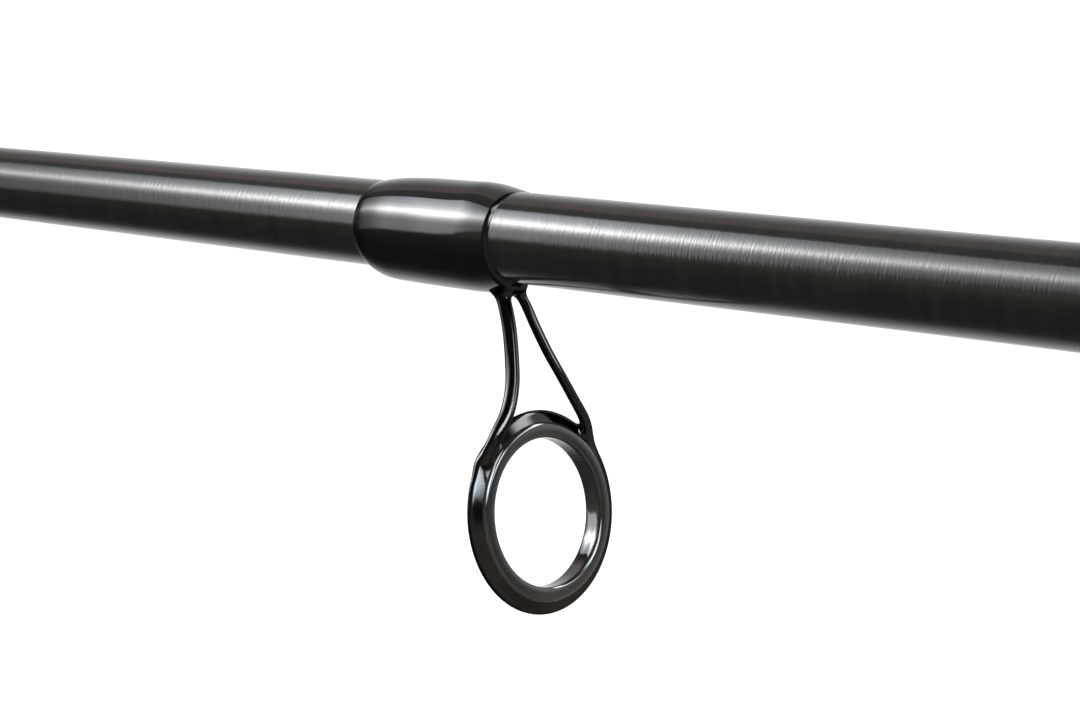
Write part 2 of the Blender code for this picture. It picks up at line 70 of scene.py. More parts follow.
# The guide in the photograph, a size 16; the others are scaled from it.
NOMINAL = 16.0
HOOP_OUTER, HOOP_INNER = 8.90, 7.83
RING_DROP, RING_SETBACK = 19.79, 2.59    # ring centre below the blank and behind the leg root
RING_LEAN = math.radians(7.9)
LEG_ROUTE = [             # one leg: along the rod from its root, out to the side, down from the blank
    (1.7, 0.70, 0.66), (1.2, 1.00, 0.95), (0.5, 1.25, 2.00), (-0.3, 1.58, 3.80), (-1.2, 2.21, 6.05),
    (-2.1, 3.07, 8.30), (-2.6, 4.15, 10.40), (-2.6, 5.45, 12.30), (-2.3, 6.25, 13.90),
    (-1.95, 6.72, 14.90),
]
LEG_ENDS = [(66.0, 7.65), (80.0, 7.20)]  # then inside the hoop: degrees from its top, and radius


# ---- curves and outlines ----
def radius_at(outline, x):
    if x <= outline[0][0]:
        return outline[0][1]
    for (x0, r0), (x1, r1) in zip(outline, outline[1:]):
        if x <= x1:
            return r0 + (r1 - r0) * (x - x0) / (x1 - x0)
    return outline[-1][1]


def eased(points, x):
    """A smooth curve through (x, value) points, without overshoot (monotone cubic)."""
    if x <= points[0][0]:
        return points[0][1]
    if x >= points[-1][0]:
        return points[-1][1]
    slopes = [(b[1] - a[1]) / (b[0] - a[0]) for a, b in zip(points, points[1:])]

    def tangent(i):
        if i == 0 or i == len(points) - 1:
            return slopes[min(i, len(slopes) - 1)]
        before, after = slopes[i - 1], slopes[i]
        return 0.0 if before * after <= 0 else 2 * before * after / (before + after)

    for i, ((x0, y0), (x1, y1)) in enumerate(zip(points, points[1:])):
        if x <= x1:
            h = x1 - x0
            t = (x - x0) / h
            return ((2 * t ** 3 - 3 * t ** 2 + 1) * y0 + (t ** 3 - 2 * t ** 2 + t) * h * tangent(i)
                    + (3 * t ** 2 - 2 * t ** 3) * y1 + (t ** 3 - t ** 2) * h * tangent(i + 1))


def route_through(points, steps):
    """Points along a Catmull-Rom curve through the given ones."""
    points = [Vector(p) for p in points]
    ends = [2 * points[0] - points[1], *points, 2 * points[-1] - points[-2]]
    route = []
    for a, b, c, d in zip(ends, ends[1:], ends[2:], ends[3:]):
        for k in range(steps):
            t = k / steps
            route.append(0.5 * (2 * b + (c - a) * t + (2 * a - 5 * b + 4 * c - d) * t ** 2
                                + (3 * b - a - 3 * c + d) * t ** 3))
    return [*route, points[-1]]


def steps_between(start, end, step):
    count = max(1, round((end - start) / step))
    return [start + (end - start) * i / count for i in range(count + 1)]


def climb(s, reach, power):
    """0 at 0 and 1 from reach on, steepest at first."""
    return 1.0 - (1.0 - min(s / reach, 1.0)) ** power


def round_end(edge, reach):
    """0 at an end and 1 from reach on, as a quarter circle."""
    return math.sqrt(max(climb(edge, reach, 2), 0.0))


def fade(angle, full, none):
    """1 within full degrees of straight down, easing to 0 at none degrees."""
    t = min(max((math.degrees(angle) - full) / (none - full), 0.0), 1.0)
    return 1.0 - t * t * (3.0 - 2.0 * t)


# ---- meshes ----
def piece(name, mesh, material, body, nodes=(), sharp=40.0):
    mesh.shade_smooth()
    mesh.set_sharp_from_angle(angle=math.radians(sharp))
    thing = bpy.data.objects.new(name, mesh)
    bpy.context.scene.collection.objects.link(thing)
    thing.data.materials.append(material)
    if nodes:
        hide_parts(*nodes)
    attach(thing, body)
    return thing


def loft(name, rings, closed=False):
    """A mesh through rings of equally many points: capped at its ends, or closed into a loop."""
    count = len(rings[0])
    points = [Vector(p) * MM for ring in rings for p in ring]
    faces = []
    pairs = [(k, k + 1) for k in range(len(rings) - 1)]
    if closed:
        pairs.append((len(rings) - 1, 0))
    for a, b in pairs:
        for i in range(count):
            j = (i + 1) % count
            faces.append((a * count + i, a * count + j, b * count + j, b * count + i))
    if not closed:
        faces.append(tuple(reversed(range(count))))
        faces.append(tuple((len(rings) - 1) * count + i for i in range(count)))
    mesh = bpy.data.meshes.new(name)
    mesh.from_pydata(points, [], faces)
    mesh.update()
    return mesh


def around(sides):
    return [2 * math.pi * i / sides for i in range(sides)]


def band(name, outer, inner, sides):
    """A closed band about the rod: outer and inner are lists of (x, radius or function of angle)."""
    rings = []
    for x, radius in [*outer, *reversed(inner)]:
        ring = []
        for angle in around(sides):
            down = min(angle, 2 * math.pi - angle)
            r = radius(down, angle) if callable(radius) else radius
            ring.append((x, r * math.sin(angle), -r * math.cos(angle)))
        rings.append(ring)
    return loft(name, rings, closed=True)


def band_piece(name, outer, inner, sides, material, body, node_name, sharp=40.0):
    return piece(name, band(name, outer, inner, sides), material, body, [node_name], sharp)


def hoop(name, section, sides, centre, lean):
    """A ring turned about its own leaning axis from a closed section of (offset along axis, radius)."""
    place = Matrix.Translation(centre) @ Matrix.Rotation(lean, 4, "Y")
    rings = []
    for offset, radius in section:
        rings.append([place @ Vector((offset, radius * math.sin(a), radius * math.cos(a)))
                      for a in around(sides)])
    return loft(name, rings, closed=True)


FAR = 1000.0                       # distance in a field that holds nothing yet
TWIST_START, TWIST_END = 0.40, 0.75
BAR_POWER = 2.2                    # a little squarer than an ellipse
SETTLING, LONGEST_STEP = 2, 0.4    # steps that bring a skin's points onto the surface, in grid steps


class Field:
    """Signed distance to a solid on a regular grid, from which a smooth skin with fillets is drawn."""

    def __init__(self, low, high, step):
        self.step = step
        self.axes = [np.arange(a, b + step, step, dtype=np.float32) for a, b in zip(low, high)]
        self.values = np.full([len(axis) for axis in self.axes], FAR, np.float32)

    def grid(self, low=None, high=None):
        """The grid's x, y and z as open arrays, with the slices that cover the given box."""
        if low is None:
            cut = (slice(None),) * 3
        else:
            cut = tuple(slice(max(int((a - axis[0]) / self.step), 0), int((b - axis[0]) / self.step) + 2)
                        for axis, a, b in zip(self.axes, low, high))
        x, y, z = (axis[part] for axis, part in zip(self.axes, cut))
        return (x[:, None, None], y[None, :, None], z[None, None, :]), cut

    def blend(self, other, fillet):
        """Add a solid, with a fillet of about this size where it meets what is there."""
        near = np.maximum(fillet - np.abs(self.values - other), 0.0) / fillet
        self.values = np.minimum(self.values, other) - near * near * fillet / 4

    def bar(self, route, wide, thin, broad_side, taper=None, twisted=None):
        """Distance to a bar of oval section along a route.

        Its wide axis leans towards broad_side, and turns towards twisted between TWIST_START and TWIST_END
        of the way.
        """
        distance = np.full_like(self.values, FAR)
        margin = 2.2 + wide
        for i, (a, b) in enumerate(zip(route, route[1:])):
            ahead = b - a
            length = ahead.length
            ahead = ahead / length
            share = i / (len(route) - 2)
            lean = broad_side
            if twisted:
                turned = min(max(share - TWIST_START, 0.0) / (TWIST_END - TWIST_START), 1.0)
                lean = broad_side.lerp(twisted, turned)
            across = (lean - ahead * lean.dot(ahead)).normalized()
            other = ahead.cross(across)
            low = [min(p, q) - margin for p, q in zip(a, b)]
            high = [max(p, q) + margin for p, q in zip(a, b)]
            (x, y, z), cut = self.grid(low, high)
            x, y, z = x - a.x, y - a.y, z - a.z
            run = x * ahead.x + y * ahead.y + z * ahead.z
            past = run - np.clip(run, 0.0, length)
            u = x * across.x + y * across.y + z * across.z
            v = np.sqrt((x * other.x + y * other.y + z * other.z) ** 2 + past ** 2)
            size = taper(share) if taper else 1.0
            near = oval_distance(u, v, wide * size, thin * size, BAR_POWER)
            distance[cut] = np.minimum(distance[cut], near)
        return distance

    def skin(self, name):
        """A quad mesh on the zero level (surface nets), with the field's own slope as its normals."""
        values, inside = self.values, self.values < 0
        cells = tuple(n - 1 for n in values.shape)
        corners = [(i, j, k) for i in (0, 1) for j in (0, 1) for k in (0, 1)]

        def at(array, corner):
            return array[tuple(slice(c, c + n) for c, n in zip(corner, cells))]

        count = sum(at(inside, c).astype(np.int8) for c in corners)
        mixed = (count > 0) & (count < 8)
        where = np.argwhere(mixed)
        total = np.zeros((len(where), 3))
        hits = np.zeros(len(where))
        for a in corners:
            for axis in range(3):
                if a[axis]:
                    continue
                b = tuple(c + (n == axis) for n, c in enumerate(a))
                va, vb = at(values, a)[mixed], at(values, b)[mixed]
                crossed = (va < 0) != (vb < 0)
                share = np.where(crossed, va / np.where(crossed, va - vb, 1.0), 0.0)
                place = np.array(a) + np.eye(3)[axis] * share[:, None]
                total += place * crossed[:, None]
                hits += crossed
        places = where + total / hits[:, None]
        slopes = np.gradient(values)
        for _ in range(SETTLING):
            off = self.sample(values, places)
            slope = np.stack([self.sample(s, places) for s in slopes], axis=1)
            step = off[:, None] * slope / np.maximum((slope ** 2).sum(axis=1), 1e-8)[:, None]
            places -= np.clip(step, -LONGEST_STEP, LONGEST_STEP)
        points = places * self.step + [axis[0] for axis in self.axes]
        number = np.full(cells, -1)
        number[mixed] = np.arange(len(where))
        faces = []
        for axis in range(3):
            u, v = (axis + 1) % 3, (axis + 2) % 3
            ahead = np.roll(inside, -1, axis)
            start = np.argwhere(inside != ahead)
            start = start[(start[:, axis] < cells[axis]) & (start.min(axis=1) > 0)]
            ring = []
            for du, dv in ((1, 1), (0, 1), (0, 0), (1, 0)):
                cell = start.copy()
                cell[:, u] -= du
                cell[:, v] -= dv
                ring.append(number[tuple(cell.T)])
            quads = np.stack(ring, axis=1)
            outward = inside[tuple(start.T)]
            faces.append(quads[outward])
            faces.append(quads[~outward][:, ::-1])
        mesh = bpy.data.meshes.new(name)
        mesh.from_pydata((points * MM).tolist(), [], np.concatenate(faces).tolist())
        mesh.update()
        mesh.shade_smooth()
        outward = np.stack([self.sample(s, places) for s in slopes], axis=1)
        outward /= np.linalg.norm(outward, axis=1)[:, None]
        mesh.normals_split_custom_set_from_vertices(outward.tolist())
        return mesh

    @staticmethod
    def sample(array, places):
        """The array's values at places between its points, by straight-line blending."""
        base = np.clip(np.floor(places).astype(int), 0, np.array(array.shape) - 2)
        share = places - base
        result = np.zeros(len(places))
        for i in (0, 1):
            for j in (0, 1):
                for k in (0, 1):
                    weight = np.prod(np.abs(1 - np.array([i, j, k]) - share), axis=1)
                    result += weight * array[base[:, 0] + i, base[:, 1] + j, base[:, 2] + k]
        return result


def oval_distance(u, v, wide, thin, power=2.0):
    """Roughly how far points at (u, v) lie from an oval of these half axes; a higher power is squarer."""
    u, v = np.abs(u), np.abs(v)
    size = ((u / wide) ** power + (v / thin) ** power) ** (1.0 / power)
    slope = np.sqrt((u ** (power - 1) / wide ** power) ** 2 + (v ** (power - 1) / thin ** power) ** 2)
    return (size - 1.0) * size ** (power - 1) / np.maximum(slope, 1e-6)


# ---- materials ----
CORK_RING = 12.7          # length of one glued cork ring


def add_node(tree, kind, inputs=(), **settings):
    """A node whose inputs are (socket, value or another node's output) pairs."""
    made = tree.nodes.new(kind)
    for key, value in settings.items():
        setattr(made, key, value)
    for socket, value in inputs:
        if isinstance(value, bpy.types.NodeSocket):
            tree.links.new(value, made.inputs[socket])
        else:
            made.inputs[socket].default_value = value
    return made


def add_ramp(tree, factor, stops):
    """A colour ramp with a stop for each (position, colour or grey) pair."""
    made = add_node(tree, "ShaderNodeValToRGB", [("Fac", factor)])
    elements = made.color_ramp.elements
    while len(elements) < len(stops):
        elements.new(0.5)
    for element, (at, colour) in zip(elements, stops):
        element.position = at
        element.color = (*colour, 1.0) if isinstance(colour, tuple) else (colour, colour, colour, 1.0)
    return made.outputs["Color"]


class Look:
    """A Principled material in the making, with the noise, ramps and bumps that its finish needs."""

    def __init__(self, name, colour, roughness, metallic=0.0, **sockets):
        self.material = bpy.data.materials.new(name)
        self.material.use_nodes = True
        self.tree = self.material.node_tree
        self.shader = self.tree.nodes["Principled BSDF"].inputs
        self.shader["Base Color"].default_value = (*colour, 1.0)
        self.shader["Roughness"].default_value = roughness
        self.shader["Metallic"].default_value = metallic
        for socket, value in sockets.items():
            self.shader[socket.replace("_", " ")].default_value = value

    def node(self, kind, inputs=(), **settings):
        return add_node(self.tree, kind, inputs, **settings)

    def coordinates(self, stretch=(1.0, 1.0, 1.0)):
        """Object coordinates stretched by one number for each axis."""
        place = self.node("ShaderNodeTexCoord").outputs["Object"]
        return self.node("ShaderNodeMapping", [("Vector", place), ("Scale", stretch)]).outputs["Vector"]

    def speckle(self, scale, detail=3.0, stretch=(1.0, 1.0, 1.0), roughness=0.5):
        made = self.node("ShaderNodeTexNoise", [("Vector", self.coordinates(stretch)), ("Scale", scale),
                                                ("Detail", detail), ("Roughness", roughness)])
        return made.outputs["Fac"]

    def tint(self, factor, stops):
        self.tree.links.new(add_ramp(self.tree, factor, stops), self.shader["Base Color"])

    def roughen(self, factor, low, high):
        made = self.node("ShaderNodeMapRange", [("Value", factor), ("To Min", low), ("To Max", high)])
        self.tree.links.new(made.outputs["Result"], self.shader["Roughness"])

    def bump(self, height, distance, strength, before=None, socket="Normal"):
        """Raise the surface by height; distance is in millimetres, and before is an earlier bump."""
        inputs = [("Height", height), ("Distance", distance * MM), ("Strength", strength)]
        if before:
            inputs.append(("Normal", before))
        made = self.node("ShaderNodeBump", inputs)
        self.tree.links.new(made.outputs["Normal"], self.shader[socket])
        return made.outputs["Normal"]


def blank_material():
    """Black composite under a thin satin varnish, with the fine lines that the turning leaves."""
    look = Look("blank_black", (0.004, 0.004, 0.004), 0.10, IOR=1.5)
    lines = look.speckle(5200.0, 3.0, (1.0, 0.06, 0.06))
    dimples = look.speckle(4200.0, 2.0, (1.0, 0.35, 0.35))
    broad = look.speckle(700.0, 2.0, (1.0, 0.1, 0.1))
    look.tint(broad, [(0.3, (0.0052, 0.0052, 0.0048)), (0.7, (0.0082, 0.0082, 0.0074))])
    look.roughen(lines, 0.05, 0.17)
    turned = look.bump(lines, 0.012, 0.8)
    look.bump(dimples, 0.010, 0.8, before=turned)
    return look.material


def wrap_material():
    """Black thread seen faintly under a thick, level epoxy coat."""
    look = Look("wrap_black_epoxy", (0.003, 0.003, 0.0032), 0.5, IOR=1.45, Specular_IOR_Level=0.0,
                Coat_Weight=1.0, Coat_Roughness=0.015, Coat_IOR=1.49)
    threads = look.node("ShaderNodeTexWave", [("Vector", look.coordinates()), ("Scale", 1600.0),
                                              ("Distortion", 0.3)],
                        bands_direction="X", wave_profile="SIN").outputs["Fac"]
    look.bump(threads, 0.02, 0.4)
    look.bump(look.speckle(180.0, 1.0), 0.03, 0.25, socket="Coat Normal")
    look.tint(threads, [(0.2, (0.0010, 0.0010, 0.0010)), (0.8, (0.0026, 0.0026, 0.0027))])
    return look.material


def chrome_material():
    """Black chrome: a dark mirror with a faint warm and cool drift and hairline polishing marks."""
    look = Look("black_chrome", (0.06, 0.06, 0.062), 0.06, metallic=1.0,
                Specular_Tint=(0.45, 0.45, 0.45, 1.0))
    look.tint(look.speckle(250.0, 3.0), [(0.3, (0.055, 0.054, 0.053)), (0.7, (0.070, 0.071, 0.073))])
    marks = look.speckle(5000.0, 2.0, (1.0, 1.0, 0.15))
    look.roughen(marks, 0.05, 0.14)
    look.bump(marks, 0.002, 0.15)
    return look.material


def ceramic_material():
    """Polished dark grey ceramic with a fine mottle."""
    look = Look("ring_ceramic", (0.01, 0.01, 0.01), 0.06, IOR=1.85)
    mottle = look.speckle(1500.0, 4.0)
    look.tint(mottle, [(0.3, (0.011, 0.0105, 0.0098)), (0.7, (0.014, 0.0134, 0.0125))])
    look.roughen(mottle, 0.052, 0.058)
    return look.material


def cork_material():
    """Sanded cork rings, glued end to end: tan grain, darker lenticels and a few deep brown pits."""
    look = Look("cork_natural", (0.3, 0.18, 0.09), 0.72, IOR=1.4)
    grain = look.speckle(420.0, 6.0, roughness=0.6)
    tan = add_ramp(look.tree, grain, [(0.25, (0.19, 0.100, 0.042)), (0.5, (0.33, 0.195, 0.092)),
                                      (0.75, (0.43, 0.27, 0.140))])
    streaks = look.speckle(330.0, 4.0, (0.35, 1.0, 1.0), 0.7)
    pits = add_ramp(look.tree, streaks, [(0.60, 0.0), (0.70, 1.0)])
    along = look.node("ShaderNodeSeparateXYZ", [(0, look.coordinates())]).outputs[0]
    wander, half_ring, seam_width = 0.5 * MM, CORK_RING / 2 * MM, 0.16 * MM
    uneven = look.node("ShaderNodeMath", [(0, look.speckle(260.0, 2.0)), (1, wander), (2, along)],
                       operation="MULTIPLY_ADD").outputs[0]
    to_seam = look.node("ShaderNodeMath", [(0, uneven), (1, half_ring)], operation="PINGPONG").outputs[0]
    seam = look.node("ShaderNodeMapRange", [("Value", to_seam), ("From Min", 0.0), ("From Max", seam_width),
                                            ("To Min", 0.75), ("To Max", 0.0)]).outputs["Result"]
    dark = look.node("ShaderNodeMath", [(0, pits), (1, seam)], operation="MAXIMUM").outputs[0]
    mixed = look.node("ShaderNodeMix", [("Factor", dark), (6, tan), (7, (0.075, 0.032, 0.013, 1.0))],
                      data_type="RGBA").outputs[2]
    look.tree.links.new(mixed, look.shader["Base Color"])
    rough = look.bump(grain, 0.15, 0.35)
    look.bump(dark, -0.25, 0.6, before=rough)
    return look.material


def gunmetal_material():
    """Anodised metal with fine turned lines."""
    look = Look("gunmetal", (0.14, 0.14, 0.15), 0.25, metallic=1.0)
    lines = look.speckle(6000.0, 2.0, (1.0, 0.03, 0.03))
    look.tint(lines, [(0.3, (0.105, 0.105, 0.112)), (0.7, (0.17, 0.17, 0.18))])
    look.roughen(lines, 0.16, 0.34)
    look.bump(lines, 0.003, 0.25)
    return look.material


def plastic_material():
    """Moulded black plastic with a fine satin grain."""
    look = Look("seat_black", (0.013, 0.013, 0.014), 0.35, IOR=1.5)
    grain = look.speckle(2600.0, 3.0)
    look.roughen(grain, 0.26, 0.44)
    look.tint(grain, [(0.3, (0.010, 0.010, 0.011)), (0.7, (0.018, 0.018, 0.019))])
    look.bump(grain, 0.01, 0.3)
    return look.material


def rubber_material():
    """Matt black rubber with a dusty bloom."""
    look = Look("cap_rubber", (0.018, 0.018, 0.018), 0.75, IOR=1.5)
    cloud = look.speckle(160.0, 5.0)
    look.tint(cloud, [(0.3, (0.012, 0.012, 0.012)), (0.75, (0.032, 0.031, 0.030))])
    look.roughen(cloud, 0.62, 0.85)
    look.bump(look.speckle(3000.0, 2.0), 0.02, 0.3)
    return look.material


def foam_material():
    """Pale foam of the arbors inside the reel seat."""
    look = Look("arbor_foam", (0.36, 0.33, 0.27), 0.9)
    cells = look.speckle(2200.0, 3.0)
    look.tint(cells, [(0.3, (0.28, 0.25, 0.20)), (0.7, (0.42, 0.39, 0.32))])
    look.bump(cells, 0.08, 0.5)
    return look.material


BLANK, WRAP = blank_material(), wrap_material()
CHROME, CERAMIC = chrome_material(), ceramic_material()
CORK, GUNMETAL = cork_material(), gunmetal_material()
PLASTIC, RUBBER = plastic_material(), rubber_material()


# ---- blanks ----
def make_blanks():
    """Two tubes; the tip's bore opens to the ferrule that takes the butt's end."""
    (butt_start, butt_radius), (butt_end, spigot_radius) = BUTT_OUTLINE[0], BUTT_OUTLINE[-1]
    outer = [(x, radius_at(BUTT_OUTLINE, x)) for x in steps_between(butt_start, butt_end, 12.0)]
    inner = [(butt_start, butt_radius - BUTT_WALL), (butt_end, spigot_radius - BUTT_WALL)]
    band_piece("butt_blank_skin", outer, inner, 96, BLANK, BUTT, "butt_blank")
    tip_end = TIP_OUTLINE[-1][0]
    outer = [(x, eased(TIP_OUTLINE, x)) for x in steps_between(FERRULE_MOUTH, tip_end, 3.0)]
    inner = [(FERRULE_MOUTH, 3.64), (FERRULE_END, 3.41), (FERRULE_END + 1, 3.37), (1000.0, 3.3),
             (tip_end, 0.5)]
    band_piece("tip_blank_skin", outer, inner, 128, BLANK, TIP, "tip_blank")


# ---- wraps ----
COAT_LENGTH = 16.6        # of a size 16 guide's wrap; the coat's heights below are for it too
COAT_SIDE = 0.62          # epoxy above the blank at its highest, on the flanks
COAT_TOP = 0.70           # and along the top
FOOT_RISE = 0.58          # how much higher it stands over the foot
COAT_FALL = 0.011         # how much it thins for each millimetre towards the far end
SIDE_END, TOP_END = 4.6, 9.6             # how far from the far end its rounding begins
SIDE_STEP, FOOT_STEP = 0.56, 0.42        # share of the height that the steep end face at the legs takes
FOOT_SPREAD = 46.0        # degrees from straight down over which the foot lifts the coat


def coat_height(s, over_foot, crown):
    """Height of the epoxy at distance s from the leg root.

    over_foot is 1 over the foot and 0 away from it; crown is 1 along the top and 0 along the bottom.
    """
    on_top = min(max((crown - 0.78) / 0.22, 0.0), 1.0) ** 1.5
    left = COAT_LENGTH - s
    side_rise = SIDE_STEP * climb(s, 0.36, 1.5) + (1.0 - SIDE_STEP) * climb(s, 6.2, 2)
    side_fall = max(0.0, 1.0 - max(1.0 - left / SIDE_END, 0.0) ** 4) ** 0.65
    top_rise = climb(s, 4.2, 1.7)
    top_fall = 1.0 - max(1.0 - left / TOP_END, 0.0) ** 4.3
    foot_rise = FOOT_STEP * round_end(s, 0.5) + (1.0 - FOOT_STEP) * climb(s, 5.4, 2.2)
    thinned = COAT_FALL * s
    side = (COAT_SIDE - thinned) * side_rise * side_fall
    top = (COAT_TOP - thinned) * top_rise * top_fall
    foot = (COAT_SIDE + FOOT_RISE - thinned) * foot_rise * side_fall
    clear = side + (top - side) * on_top
    return clear + (foot - clear) * over_foot


def guide_wrap(name, outline, root, length, scale, body, node_name, direction=1):
    """The epoxied wrap over a guide's foot: steep at the leg root, a long rounded fall at the other end."""
    stretch = length / COAT_LENGTH
    outer = []
    for s in [*steps_between(0.0, 0.5, 0.02), *steps_between(0.5, 1.5, 0.05)[1:],
              *steps_between(1.5, 15.0, 0.15)[1:], *steps_between(15.0, COAT_LENGTH, 0.05)[1:]]:
        x = root + direction * s * stretch
        blank = radius_at(outline, x)

        def radius(down, angle, blank=blank, s=s):
            over_foot = math.exp(-(math.degrees(down) / FOOT_SPREAD) ** 2)
            height = coat_height(s, over_foot, (1.0 - math.cos(down)) / 2)
            swell = noise.noise(Vector((s * 0.25, math.cos(angle), math.sin(angle))))
            return blank + 0.005 + scale * height * (1.0 + 0.03 * swell)

        outer.append((x, radius))
    inner = [(x, radius_at(outline, x) - 0.15) for x in (root, root + direction * length)]
    if direction < 0:
        outer, inner = outer[::-1], inner[::-1]
    band_piece(name, outer, inner, 128, WRAP, body, node_name, sharp=60.0)


def plain_wrap(name, outline, start, end, coat, body, node_name):
    """A thread wrap with a level epoxy coat and rounded ends."""
    outer = []
    for x in steps_between(start, end, 0.15):
        wave = 0.015 * noise.noise(Vector((x * 0.3, 0.0, 0.0)))
        rise = (coat + wave) * round_end(min(x - start, end - x), 2.2)
        outer.append((x, radius_at(outline, x) + 0.02 + rise))
    inner = [(start, radius_at(outline, start) - 0.1), (end, radius_at(outline, end) - 0.1)]
    band_piece(name, outer, inner, 96, WRAP, body, node_name, sharp=60.0)


# ---- guides ----
HOOP_FACE = 0.69          # half the hoop's thickness where it meets the ceramic, for a size 16 guide
HOOP_BEVEL = math.radians(24.0)
HOOP_ROUND = 0.42         # how far the rounding of its outer edge reaches
HOOP_SWELL = 0.05         # what that rounding would take off its outer radius
HOOP_LIP = 0.25           # how far it reaches inwards behind the ceramic's edge
LEG_WIDE, LEG_THIN = 0.63, 0.45          # half the widths of a leg's section
RING_SECTION = [          # the ceramic's section: distance from its mid plane, radius
    (0.0, 6.46), (0.55, 6.46), (0.80, 6.50), (0.95, 6.62), (1.03, 6.82), (1.05, 7.02), (1.04, 7.24),
    (0.99, 7.48), (0.89, 7.68), (0.74, 7.81), (0.50, 7.86), (0.30, 7.86),
]


def hoop_distance(grid, centre, lean, size):
    """Distance to a hoop with bevelled faces and a rounded edge, bored for its ceramic ring."""
    x, y, z = (axis - c for axis, c in zip(grid, centre))
    offset = x * math.cos(lean) - z * math.sin(lean)
    rise = x * math.sin(lean) + z * math.cos(lean)
    radius = np.sqrt(y ** 2 + rise ** 2)
    seat, rounding = HOOP_INNER * size, HOOP_ROUND * size
    face = ((np.abs(offset) - HOOP_FACE * size) * math.cos(HOOP_BEVEL)
            + (radius - seat) * math.sin(HOOP_BEVEL))
    edge = radius - (HOOP_OUTER + HOOP_SWELL) * size
    near = np.maximum(rounding - np.abs(face - edge), 0.0) / rounding
    outside = np.maximum(face, edge) + near * near * rounding / 4
    return np.maximum(outside, seat - HOOP_LIP * size - radius)


def ring_mesh(name, centre, lean, size, sides):
    half = [Vector((offset, radius, 0.0)) for offset, radius in RING_SECTION]
    fine = route_through(half, 4)
    section = [(p.x * size, p.y * size) for p in fine[1:]]
    section += [(-offset, radius) for offset, radius in reversed(section)]
    section.append((0.0, RING_SECTION[0][1] * size))
    return hoop(name, section, sides, centre, lean)


def make_guide(name, root, size, scale, wrap_length, outline, body, strut=None):
    """A guide's frame with soft fillets, its ceramic ring and its wrap.

    Its legs follow scale, its hoop follows its ring size. A strut is the route of a second foot.
    """
    rings, thick = size / NOMINAL, math.sqrt(scale)
    leg_fillet, root_fillet, strut_fillet = 0.7 * thick, 0.8 * thick, 0.9
    surface = radius_at(outline, root)
    centre = Vector((root - RING_SETBACK * scale, 0.0, -surface - RING_DROP * scale))
    reach = HOOP_OUTER * rings + 0.6
    behind = 6.0 * scale if strut is None else root - strut[0].x + 1.5
    frame_field = Field((root - behind, -reach, centre.z - reach),
                        (root + 3.6 * scale, reach, -surface + 1.1), 0.10 * max(thick, 0.75))
    grid, _ = frame_field.grid()
    frame_field.blend(hoop_distance(grid, centre, RING_LEAN, rings), 0.1)
    spread = rings / scale

    def thinner_at_end(share):
        return 1.0 - 0.75 * max(share - 0.70, 0.0) / 0.30

    legs = []
    for sign in (1, -1):
        points = []
        for i, (along, out, down) in enumerate(LEG_ROUTE):
            widen = 1.0 + (spread - 1.0) * (i / (len(LEG_ROUTE) - 1)) ** 2
            points.append((root + along * scale, sign * out * scale * widen, -surface - down * scale))
        for degrees, radius in LEG_ENDS:
            rise = radius * rings * math.cos(math.radians(degrees))
            out = radius * rings * math.sin(math.radians(degrees))
            points.append((centre.x + rise * math.sin(RING_LEAN), sign * out,
                           centre.z + rise * math.cos(RING_LEAN)))
        legs.append(frame_field.bar(route_through(points, 6), LEG_WIDE * thick, LEG_THIN * thick,
                                    Vector((0.75, 0.62 * sign, -0.10)), thinner_at_end,
                                    twisted=Vector((0.34, 0.94 * sign, 0.0))))
    x, y, z = grid
    root_block = oval_distance(np.sqrt(((x - root - 1.5 * scale) / 1.15) ** 2 + (y / 1.1) ** 2),
                               z + surface + 0.25 * scale, 1.6 * scale, 0.85 * scale)
    frame_field.blend(np.minimum(*legs), leg_fillet)
    frame_field.blend(root_block, root_fillet)
    if strut:
        frame_field.blend(frame_field.bar(strut, 0.85, 0.62, Vector((0.0, 1.0, 0.0))), strut_fillet)
    frame_field.values = np.maximum(frame_field.values, surface + FIT - np.sqrt(y ** 2 + z ** 2))
    piece(name + "_frame_skin", frame_field.skin(name + "_frame_skin"), CHROME, body,
          [name + "_guide_frame"], sharp=180.0)
    sides = 192 if size > 12 else 96
    piece(name + "_ring_skin", ring_mesh(name + "_ring_skin", centre, RING_LEAN, rings, sides), CERAMIC,
          body, [name + "_guide_ring"], sharp=180.0)
    guide_wrap(name + "_wrap_skin", outline, root, wrap_length, scale, body, name + "_guide_wrap")


def make_stripper():
    """The largest guide, which has a strut and a second foot and wrap on its butt side."""
    name, root, size, scale, wrap_length = STRIPPER
    surface = radius_at(BUTT_OUTLINE, root)
    hoop_top = RING_DROP * scale - HOOP_OUTER * size / NOMINAL
    rear = STRIPPER_REAR_ROOT
    strut = route_through([
        (rear - 1.5, 0, -surface - 0.95), (rear + 0.5, 0, -surface - 1.2), (rear + 5.0, 0, -surface - 3.6),
        (rear + 11.0, 0, -surface - hoop_top * 0.72),
        (root - RING_SETBACK * scale + 1.7, 0, -surface - hoop_top - 0.7)], 8)
    make_guide(name, root, size, scale, wrap_length, BUTT_OUTLINE, BUTT, strut=strut)
    guide_wrap("stripper_rear_wrap_skin", BUTT_OUTLINE, rear - 0.4, 20.2, 1.3, BUTT,
               "stripper_rear_wrap", direction=-1)


# ---- tip top, hook keeper ----
TIP_TOP_X, TIP_TOP_SIZE = 1800.0, 6.0


